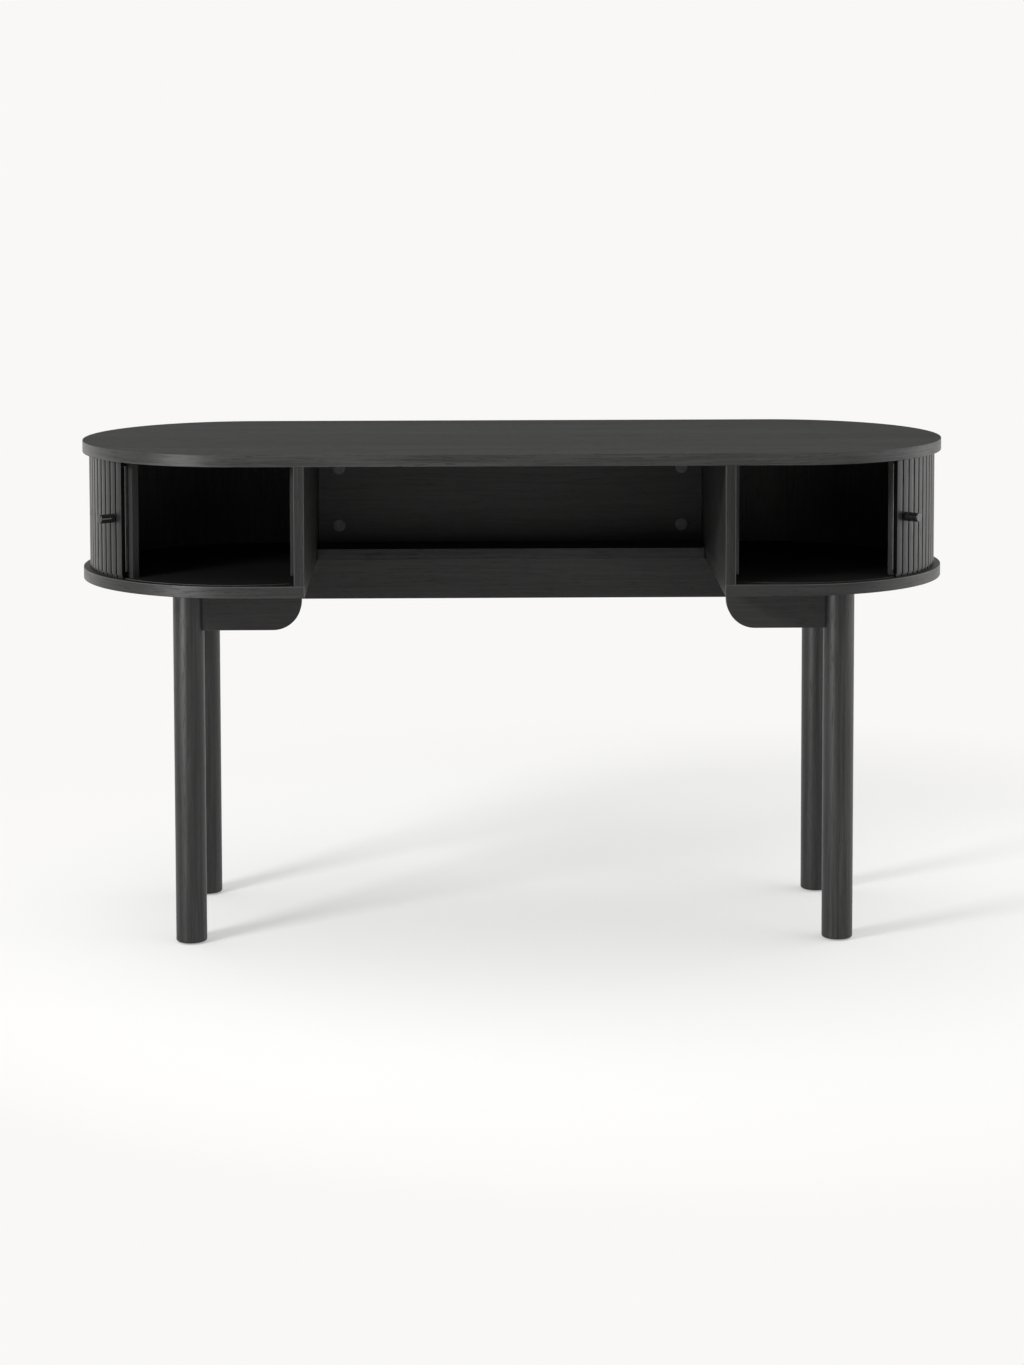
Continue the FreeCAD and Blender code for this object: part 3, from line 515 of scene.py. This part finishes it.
def slatTree():
    tree, given, made = newTree("slatRow", slatInputs)

    def stave(width, thick, low, tall, rounding=None):
        outline = addNode(tree, "GeometryNodeCurvePrimitiveQuadrilateral", None,
                          {"Width": width, "Height": thick}).outputs[0]
        if rounding is not None:
            outline = addNode(tree, "GeometryNodeFilletCurve", {"mode": "POLY"},
                              {"Curve": outline, "Count": slatRow["roundSteps"],
                               "Radius": rounding}).outputs[0]
        filled = addNode(tree, "GeometryNodeFillCurve", {"mode": "NGONS"}, {"Curve": outline}).outputs[0]
        lifted = addNode(tree, "GeometryNodeExtrudeMesh", None,
                         {"Mesh": filled, "Offset": (0.0, 0.0, 1.0), "Offset Scale": tall}).outputs[0]
        under = addNode(tree, "GeometryNodeFlipFaces", None, {"Mesh": filled}).outputs[0]
        both = addNode(tree, "GeometryNodeJoinGeometry")
        tree.links.new(lifted, both.inputs[0])
        tree.links.new(under, both.inputs[0])
        middle = calc(tree, "SUBTRACT", calc(tree, "MULTIPLY", given["Thickness"], 0.5), given["Face Radius"])
        return move(tree, weld(tree, both.outputs[0]), combine(tree, {"Y": middle, "Z": low}))

    body = stave(given["Width"], given["Thickness"], given["Low"], given["Height"], given["Edge Round"])
    tongue = stave(given["Tongue Width"], given["Tongue Thickness"], given["Tongue Low"],
                   given["Tongue Height"])
    whole = addNode(tree, "GeometryNodeJoinGeometry")
    tree.links.new(body, whole.inputs[0])
    tree.links.new(tongue, whole.inputs[0])
    normal = addNode(tree, "GeometryNodeInputNormal").outputs[0]
    sideways = calc(tree, "ABSOLUTE", split(tree, normal)[0])
    marked = addNode(tree, "GeometryNodeStoreNamedAttribute", {"data_type": "FLOAT", "domain": "FACE"},
                     {"Geometry": whole.outputs[0], "Name": "slatSide",
                      "Value": calc(tree, "GREATER_THAN", sideways, slatRow["sideFacing"])}).outputs[0]
    points = addNode(tree, "GeometryNodePoints", None, {"Count": given["Count"]}).outputs[0]
    index = addNode(tree, "GeometryNodeInputIndex").outputs[0]
    angle = calc(tree, "ADD", calc(tree, "MULTIPLY", index, given["Pitch"]), given["First Angle"])
    turn = combine(tree, {"Z": angle})
    copies = addNode(tree, "GeometryNodeInstanceOnPoints", None,
                     {"Points": points, "Instance": marked, "Rotation": turn}).outputs[0]
    tone = addNode(tree, "FunctionNodeRandomValue", {"data_type": "FLOAT"},
                   {"ID": index, "Seed": given["Seed"]}).outputs[1]
    toned = addNode(tree, "GeometryNodeStoreNamedAttribute", {"data_type": "FLOAT", "domain": "INSTANCE"},
                    {"Geometry": copies, "Name": "slatTone", "Value": tone}).outputs[0]
    moved = move(tree, toned, given["Centre"])
    real = addNode(tree, "GeometryNodeRealizeInstances", None, {"Geometry": moved}).outputs[0]
    # the side faces get the dark gap finish: painted shade between the slats
    inGapShade = addNode(tree, "GeometryNodeInputNamedAttribute", {"data_type": "FLOAT"},
                    {"Name": "slatSide"}).outputs[0]
    faced = setFinish(tree, real, given["Finish"])
    gapShaded = setFinish(tree, faced, given["Gap Shade Finish"], Selection=calc(tree, "GREATER_THAN", inGapShade, 0.5))
    tree.links.new(gapShaded, made[0])
    return tree


slatMaker = slatTree()
pitchAngle = (slatRow["width"] + slatRow["gap"]) / slatRow["faceRadius"]
halfSlat = slatRow["width"] / 2 / slatRow["faceRadius"]
doorAngle = slatRow["count"] * pitchAngle + 2 * halfSlat
for side, sign in sides.items():
    lead = math.radians(slatRow["leadAngle"][side]) + halfSlat
    shared = {
        "Pitch": sign * pitchAngle, "Face Radius": slatRow["faceRadius"], "Width": slatRow["width"],
        "Thickness": slatRow["thickness"], "Edge Round": slatRow["edgeRound"], "Low": slatRow["low"],
        "Height": slatRow["tall"], "Tongue Low": slatRow["tongueLow"], "Tongue Height": slatRow["tongueTall"],
        "Tongue Width": slatRow["tongueWidth"], "Tongue Thickness": slatRow["tongueThick"],
        "Centre": (sign * slatRow["endX"], 0.0, 0.0), "Finish": finishes["oakSlat"],
        "Gap Shade Finish": finishes["oakGapShade"],
    }
    rows = {
        f"slat_row_{side}": (f"slats_{side}", slatRow["count"], lead + pitchAngle, slatRow["seed"][side]),
        f"lead_stave_{side}": (f"lead_slat_{side}", 1, lead, slatRow["seed"][side] + 1),
    }
    for name, (replaced, count, first, seed) in rows.items():
        piece = grow(name, slatMaker, dict(shared, Count=count, Seed=seed, **{"First Angle": sign * first}))
        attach(piece, f"{side}_door")
        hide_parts(replaced)
print("slat rows grown")


# turned pieces: a profile of radius and height shares spun round its axis, one at each spot
def turnedTree(name, profile):
    tree, given, made = newTree(name, {
        "Radius": 0.01, "Height": 0.01, "Segments": 32, "Turn": (0.0, 0.0, 0.0),
        "Slot Length": 0.0, "Slot Width": 0.0, "Slot Depth": 0.0, "Finish": None})
    grid = addNode(tree, "GeometryNodeMeshGrid", None,
                   {"Size X": 1.0, "Size Y": 1.0, "Vertices X": calc(tree, "ADD", given["Segments"], 1.0),
                    "Vertices Y": len(profile)}).outputs[0]
    across, along, _ = split(tree, addNode(tree, "GeometryNodeInputPosition").outputs[0])
    angle = calc(tree, "MULTIPLY", calc(tree, "ADD", across, 0.5), 2 * math.pi)
    ring = calc(tree, "ROUND", calc(tree, "MULTIPLY", calc(tree, "ADD", along, 0.5), len(profile) - 1.0))

    def pick(shares, size):
        choice = addNode(tree, "GeometryNodeIndexSwitch", {"data_type": "FLOAT"}, {"Index": ring})
        for _ in range(len(shares) - 2):
            choice.index_switch_items.new()
        for socket, share in zip(choice.inputs[1:], shares):
            socket.default_value = share
        return calc(tree, "MULTIPLY", choice.outputs[0], size)

    wide = pick([radius for radius, _ in profile], given["Radius"])
    high = pick([height for _, height in profile], given["Height"])
    spun = combine(tree, {"X": calc(tree, "MULTIPLY", wide, calc(tree, "COSINE", angle)),
                          "Y": calc(tree, "MULTIPLY", wide, calc(tree, "SINE", angle)), "Z": high})
    shell = addNode(tree, "GeometryNodeSetPosition", None, {"Geometry": grid, "Position": spun}).outputs[0]
    shell = weld(tree, shell)
    bars = addNode(tree, "GeometryNodeJoinGeometry")
    deep = calc(tree, "MULTIPLY", given["Slot Depth"], 2.0)
    for long, short in (("Slot Length", "Slot Width"), ("Slot Width", "Slot Length")):  # a cross recess
        size = combine(tree, {"X": given[long], "Y": given[short], "Z": deep})
        tree.links.new(addNode(tree, "GeometryNodeMeshCube", None, {"Size": size}).outputs[0], bars.inputs[0])
    cut = addNode(tree, "GeometryNodeMeshBoolean", {"operation": "DIFFERENCE"}, {"Mesh 1": shell})
    tree.links.new(bars.outputs[0], cut.inputs["Mesh 2"])
    slotted = calc(tree, "GREATER_THAN", given["Slot Depth"], 0.0)
    form = addNode(tree, "GeometryNodeSwitch", {"input_type": "GEOMETRY"},
                   {"Switch": slotted, "False": shell, "True": cut.outputs[0]}).outputs[0]
    copies = addNode(tree, "GeometryNodeInstanceOnPoints", None,
                     {"Points": given["Geometry"], "Instance": form, "Rotation": given["Turn"]}).outputs[0]
    real = addNode(tree, "GeometryNodeRealizeInstances", None, {"Geometry": copies}).outputs[0]
    tree.links.new(setFinish(tree, real, given["Finish"]), made[0])
    return tree


def solidBoxes(name):
    # lowest and highest corner of each separate solid in a node
    form = bmesh.new()
    form.from_mesh(nodes[name].data)
    bmesh.ops.remove_doubles(form, verts=form.verts, dist=weldReach)
    left = set(form.verts)
    boxes = []
    while left:
        island, fresh = set(), [left.pop()]
        while fresh:
            vert = fresh.pop()
            island.add(vert)
            linked = {edge.other_vert(vert) for edge in vert.link_edges} & left
            left -= linked
            fresh += linked
        corners = list(zip(*(vert.co for vert in island)))
        boxes.append(([min(axis) for axis in corners], [max(axis) for axis in corners]))
    form.free()
    return sorted(boxes)


# cover caps: flat-domed discs over the cams, pressed on the back panel's face
coverCap = {"radius": 0.010, "height": 0.0012, "turn": (math.pi / 2, 0.0, 0.0),
            "profile": [(0, 0), (0.96, 0), (1.0, 0.12), (1.0, 0.42), (0.985, 0.58), (0.94, 0.70),
                        (0.80, 0.82), (0.55, 0.93), (0.28, 0.985), (0, 1.0)]}
# screws: countersunk heads with a cross recess, plain shank with a point
steelScrew = {"radius": 0.0045, "segments": 24,
              "slotLength": 0.0052, "slotWidth": 0.0012, "slotDepth": 0.0016,
              "profile": [(0, 0), (0.90, 0), (1.0, 0.008), (1.0, 0.020), (0.56, 0.060), (0.53, 0.075),
                          (0.53, 0.90), (0.30, 0.96), (0, 1.0)]}
# glides: pads with a rounded tread, nailed into the leg ends
glidePad = {"radius": 0.012, "segments": 40,
            "profile": [(0, 0), (0.86, 0), (0.93, 0.008), (0.98, 0.026), (1.0, 0.055), (1.0, 0.125),
                        (0.125, 0.125), (0.125, 0.90), (0, 1.0)]}
turnedPieces = {
    "cover_caps": ("cam_covers", coverCap, "coverPlastic", "cover_plastic"),
    "case_screw_set": ("case_screws", steelScrew, "zincSteel", "zinc_steel"),
    "rail_screw_set": ("rail_screws", steelScrew, "zincSteel", "zinc_steel"),
    "glide_pads": ("foot_glides", glidePad, "glidePlastic", "glide_plastic"),
}
for name, (replaced, look, finishName, slotName) in turnedPieces.items():
    boxes = solidBoxes(replaced)
    upright = "turn" not in look
    spots = [((low[0] + high[0]) / 2, (low[1] + high[1]) / 2 if upright else high[1],
              low[2] if upright else (low[2] + high[2]) / 2) for low, high in boxes]
    tall = look.get("height", boxes[0][1][2] - boxes[0][0][2])
    piece = grow(name, turnedTree(name, look["profile"]), {
        "Radius": look["radius"], "Height": tall, "Segments": look.get("segments", 48),
        "Turn": look.get("turn", (0.0, 0.0, 0.0)), "Slot Length": look.get("slotLength", 0.0),
        "Slot Width": look.get("slotWidth", 0.0), "Slot Depth": look.get("slotDepth", 0.0),
        "Finish": finishes[finishName]}, spots)
    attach(piece, "desk_case")
    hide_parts(replaced)
    print(name, "turned:", len(spots))

# canvas backing: a thin bent sheet glued behind the slats
canvasSheet = {"face": 0.2373, "back": 0.2365, "low": 0.582, "high": 0.7455, "stepsRound": 136, "stepsUp": 6}


def bentSheet(name, sign, start, sweep, look):
    mesh = bpy.data.meshes.new(name)
    form = bmesh.new()
    uvLayer = form.loops.layers.uv.new("sheetMetres")
    stepsRound, stepsUp = look["stepsRound"], look["stepsUp"]
    tall = look["high"] - look["low"]
    grid = {}
    for wall, radius in enumerate((look["face"], look["back"])):
        for i in range(stepsRound + 1):
            angle = start + sweep * i / stepsRound
            for j in range(stepsUp + 1):
                z = look["low"] + tall * j / stepsUp
                x = sign * (slatRow["endX"] + radius * math.sin(angle))
                grid[wall, i, j] = form.verts.new((x, -radius * math.cos(angle), z))
    place = {vert: (i, j) for (wall, i, j), vert in grid.items()}

    def panel(*corners):
        face = form.faces.new([grid[corner] for corner in corners])
        for loop in face.loops:
            i, j = place[loop.vert]
            loop[uvLayer].uv = (i / stepsRound * sweep * look["face"], j / stepsUp * tall)

    for i in range(stepsRound):
        for j in range(stepsUp):
            for wall in (0, 1):
                panel((wall, i, j), (wall, i + 1, j), (wall, i + 1, j + 1), (wall, i, j + 1))
        for j in (0, stepsUp):
            panel((0, i, j), (0, i + 1, j), (1, i + 1, j), (1, i, j))
    for j in range(stepsUp):
        for i in (0, stepsRound):
            panel((0, i, j), (0, i, j + 1), (1, i, j + 1), (1, i, j))
    bmesh.ops.recalc_face_normals(form, faces=form.faces)
    form.to_mesh(mesh)
    form.free()
    piece = bpy.data.objects.new(name, mesh)
    bpy.context.scene.collection.objects.link(piece)
    return piece


for side, sign in sides.items():
    start = math.radians(slatRow["leadAngle"][side])
    piece = bentSheet(f"canvas_sheet_{side}", sign, start, doorAngle, canvasSheet)
    piece.data.materials.append(finishes["canvasCloth"])
    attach(piece, f"{side}_door")
    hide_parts(f"canvas_{side}")
print("canvas sheets made")

# floor: pale and plain, even far away, with the desk's own shadow near it
studio = {
    "white": (0.947, 0.939, 0.922),
    "floorColor": 0.88,
    "floorReach": 60.0,
    "grainScale": 30.0,
    "grainSwing": 0.005,
    "nearShare": 0.34,
    "nearCentre": (0.3, 0.12, 0.0),
    "nearRadius": 0.9,
    "farRadius": 1.5,
    "skyLow": 0.06,
    "skyHigh": 0.50,
    "skyTop": 0.9,
}


def cameraOrMirror(tree):
    path = addNode(tree, "ShaderNodeLightPath").outputs
    seen = calc(tree, "MAXIMUM", path["Is Camera Ray"], path["Is Glossy Ray"])
    return calc(tree, "MAXIMUM", seen, path["Is Transmission Ray"])


def floorFinish():
    finish, tree, shader = newFinish("paleFloor")
    tree.nodes.remove(shader)
    place = objectPlace(tree)
    grain = noise(tree, place, studio["grainScale"])
    level, swing = studio["floorColor"], studio["grainSwing"]
    color = blendColor(tree, grain, gray(level * (1 - swing)), gray(level * (1 + swing)))
    matte = addNode(tree, "ShaderNodeBsdfDiffuse", None, {"Color": color}).outputs[0]
    glow = addNode(tree, "ShaderNodeEmission", None,
                   {"Color": (*studio["white"], 1), "Strength": 1.0}).outputs[0]
    away = addNode(tree, "ShaderNodeVectorMath", {"operation": "DISTANCE"},
                   {0: place, 1: studio["nearCentre"]}).outputs["Value"]
    far = remap(tree, away, studio["nearRadius"], studio["farRadius"], studio["nearShare"], 1.0)
    both = addNode(tree, "ShaderNodeMixShader", None,
                   {0: calc(tree, "MULTIPLY", far, cameraOrMirror(tree)), 1: matte, 2: glow}).outputs[0]
    tree.links.new(both, tree.nodes["Material Output"].inputs["Surface"])
    return finish


floorMesh = bpy.data.meshes.new("floor")
reach = studio["floorReach"]
floorMesh.from_pydata([(-reach, -reach, 0), (reach, -reach, 0), (reach, reach, 0), (-reach, reach, 0)], [],
                      [(0, 1, 2, 3)])
floor = bpy.data.objects.new("floor", floorMesh)
bpy.context.scene.collection.objects.link(floor)
floorMesh.materials.append(floorFinish())

# world: a soft sky that lights the desk, and plain white where the camera or a mirror looks past it
world = bpy.data.worlds.new("studio")
bpy.context.scene.world = world
world.use_nodes = True
tree = world.node_tree
tree.nodes.clear()
upward = split(tree, addNode(tree, "ShaderNodeTexCoord").outputs["Generated"])[2]
skyLevel = remap(tree, upward, 0.0, studio["skyTop"], studio["skyLow"], studio["skyHigh"])
soft = addNode(tree, "ShaderNodeBackground", None, {"Color": (1, 1, 1, 1), "Strength": skyLevel})
white = addNode(tree, "ShaderNodeBackground", None, {"Color": (*studio["white"], 1), "Strength": 1.0})
chosen = addNode(tree, "ShaderNodeMixShader", None,
                 {0: cameraOrMirror(tree), 1: soft.outputs[0], 2: white.outputs[0]})
tree.links.new(chosen.outputs[0], addNode(tree, "ShaderNodeOutputWorld").inputs["Surface"])

# soft boxes: place, aim, size and power in watts; one makes only sheen, and one lights without any
lamps = {
    "keyLeft": {"place": (-2.4, -1.95, 2.1), "aim": (0.0, 0.0, 0.4), "size": (0.8, 0.6), "power": 70},
    "keySheen": {"place": (-2.3, -2.25, 0.6), "aim": (0.0, 0.0, 0.6), "size": (1.1, 1.1), "power": 58,
                 "matte": False},
    "fillRight": {"place": (1.7, -3.3, 0.35), "aim": (-0.2, 0.2, 0.66), "size": (1.6, 0.5), "power": 10,
                  "sheen": False},
    "floorFront": {"place": (0.8, -3.2, 0.7), "aim": (0.8, -3.2, 0.0), "size": (3.2, 1.6), "power": 36},
    "overhead": {"place": (0.0, 0.6, 3.3), "aim": (0.0, 0.6, 0.0), "size": (6.0, 5.0), "power": 76},
    "sideRight": {"place": (2.85, 0.0, 1.0), "aim": (0.0, 0.0, 0.6), "size": (3.4, 1.8), "power": 40},
    "sideLeft": {"place": (-2.6, 1.4, 1.0), "aim": (0.0, 0.0, 0.6), "size": (2.6, 1.8), "power": 9},
}
for name, lamp in lamps.items():
    data = bpy.data.lights.new(name, "AREA")
    data.shape = "RECTANGLE"
    data.size, data.size_y = lamp["size"]
    data.energy = lamp["power"]
    light = bpy.data.objects.new(name, data)
    bpy.context.scene.collection.objects.link(light)
    light.visible_camera = False
    light.visible_diffuse = lamp.get("matte", True)
    light.visible_glossy = lamp.get("sheen", True)
    towards = Vector(lamp["aim"]) - Vector(lamp["place"])
    turned = towards.to_track_quat("-Z", "Y").to_matrix().to_4x4()
    light.matrix_world = Matrix.Translation(lamp["place"]) @ turned
print("studio lit")

# camera: the photograph's viewpoint, worked out for a frame of 1024 by 1365
shot = {
    "frameTall": 1365.0,
    "focalPixels": 3136.0,
    "shiftPixels": -332.8,
    "yaw": 0.0152,
    "pitch": 0.0787,
    "roll": -0.0021,
    "place": (-0.0755, -4.9547, 1.3007),
    "sensorWide": 36.0,
    "clipFar": 200.0,
}
cameraData = bpy.data.cameras.new("photoCamera")
cameraData.sensor_width = shot["sensorWide"]
cameraData.lens = shot["focalPixels"] / shot["frameTall"] * shot["sensorWide"]
cameraData.shift_y = shot["shiftPixels"] / shot["frameTall"]
cameraData.clip_end = shot["clipFar"]
camera = bpy.data.objects.new("photoCamera", cameraData)
bpy.context.scene.collection.objects.link(camera)
level = Matrix(((1, 0, 0), (0, 0, -1), (0, 1, 0)))
turned = (Matrix.Rotation(shot["roll"], 3, "Z") @ Matrix.Rotation(shot["pitch"], 3, "X") @ level
          @ Matrix.Rotation(shot["yaw"], 3, "Z"))
flip = Matrix.Diagonal((1, -1, -1))
camera.matrix_world = Matrix.Translation(shot["place"]) @ (flip @ turned).transposed().to_4x4()
bpy.context.scene.camera = camera
bpy.context.scene.view_settings.view_transform = "Standard"
print("camera placed")
